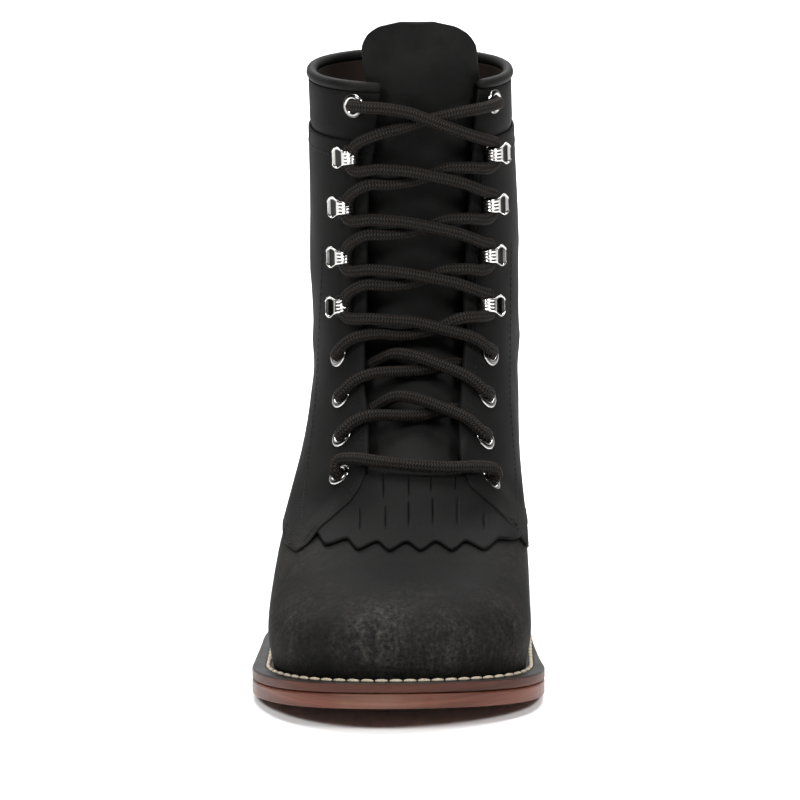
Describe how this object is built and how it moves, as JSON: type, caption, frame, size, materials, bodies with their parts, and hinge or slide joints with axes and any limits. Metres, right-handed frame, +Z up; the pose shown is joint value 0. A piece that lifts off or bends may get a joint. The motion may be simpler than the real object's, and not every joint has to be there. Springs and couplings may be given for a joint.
{
  "type": "lace-up roper boot",
  "caption": "Ankle-high lace-up leather boot with a hollow upper, tongue, fringed flap over the vamp, eyelets and hooks, a broad soft-square toe, a stitched welt and a low block heel",
  "frame": {"origin": "the centre of the heel's resting face, on the floor", "axes": "+Z up, toe towards -Y, the wearer's inner side towards -X on this left boot"},
  "size_m": [0.1109, 0.2949, 0.243],
  "materials": {
    "upper_leather": "black nubuck with a fine matt nap, lighter where it is brushed",
    "welt_leather": "dark dyed welt leather, low sheen",
    "sole_leather": "red-brown stained edge of sole leather, waxed",
    "heel_rubber": "black matt rubber top lift",
    "insole_leather": "tan smooth insole leather",
    "nickel": "polished nickel plate",
    "lace": "warm black round braided cord"
  },
  "bodies": {
    "root": {"outsole": "sole_leather", "heel_stack": "sole_leather", "heel_top_lift": "heel_rubber", "welt": "welt_leather", "insole": "insole_leather", "upper": "upper_leather", "collar_binding": "upper_leather", "tongue": "upper_leather", "kiltie": "upper_leather", "eyelet_inner_0": "nickel", "hook_inner_1": "nickel", "hook_inner_2": "nickel", "hook_inner_3": "nickel", "hook_inner_4": "nickel", "eyelet_inner_5": "nickel", "eyelet_inner_6": "nickel", "eyelet_inner_7": "nickel", "eyelet_inner_8": "nickel", "eyelet_outer_0": "nickel", "hook_outer_1": "nickel", "hook_outer_2": "nickel", "hook_outer_3": "nickel", "hook_outer_4": "nickel", "eyelet_outer_5": "nickel", "eyelet_outer_6": "nickel", "eyelet_outer_7": "nickel", "eyelet_outer_8": "nickel", "lace_crossing_0": "lace", "lace_crossing_1": "lace", "lace_crossing_2": "lace", "lace_crossing_3": "lace", "lace_crossing_4": "lace", "lace_crossing_5": "lace", "lace_crossing_6": "lace", "lace_bar": "lace"}
  },
  "joints": []
}
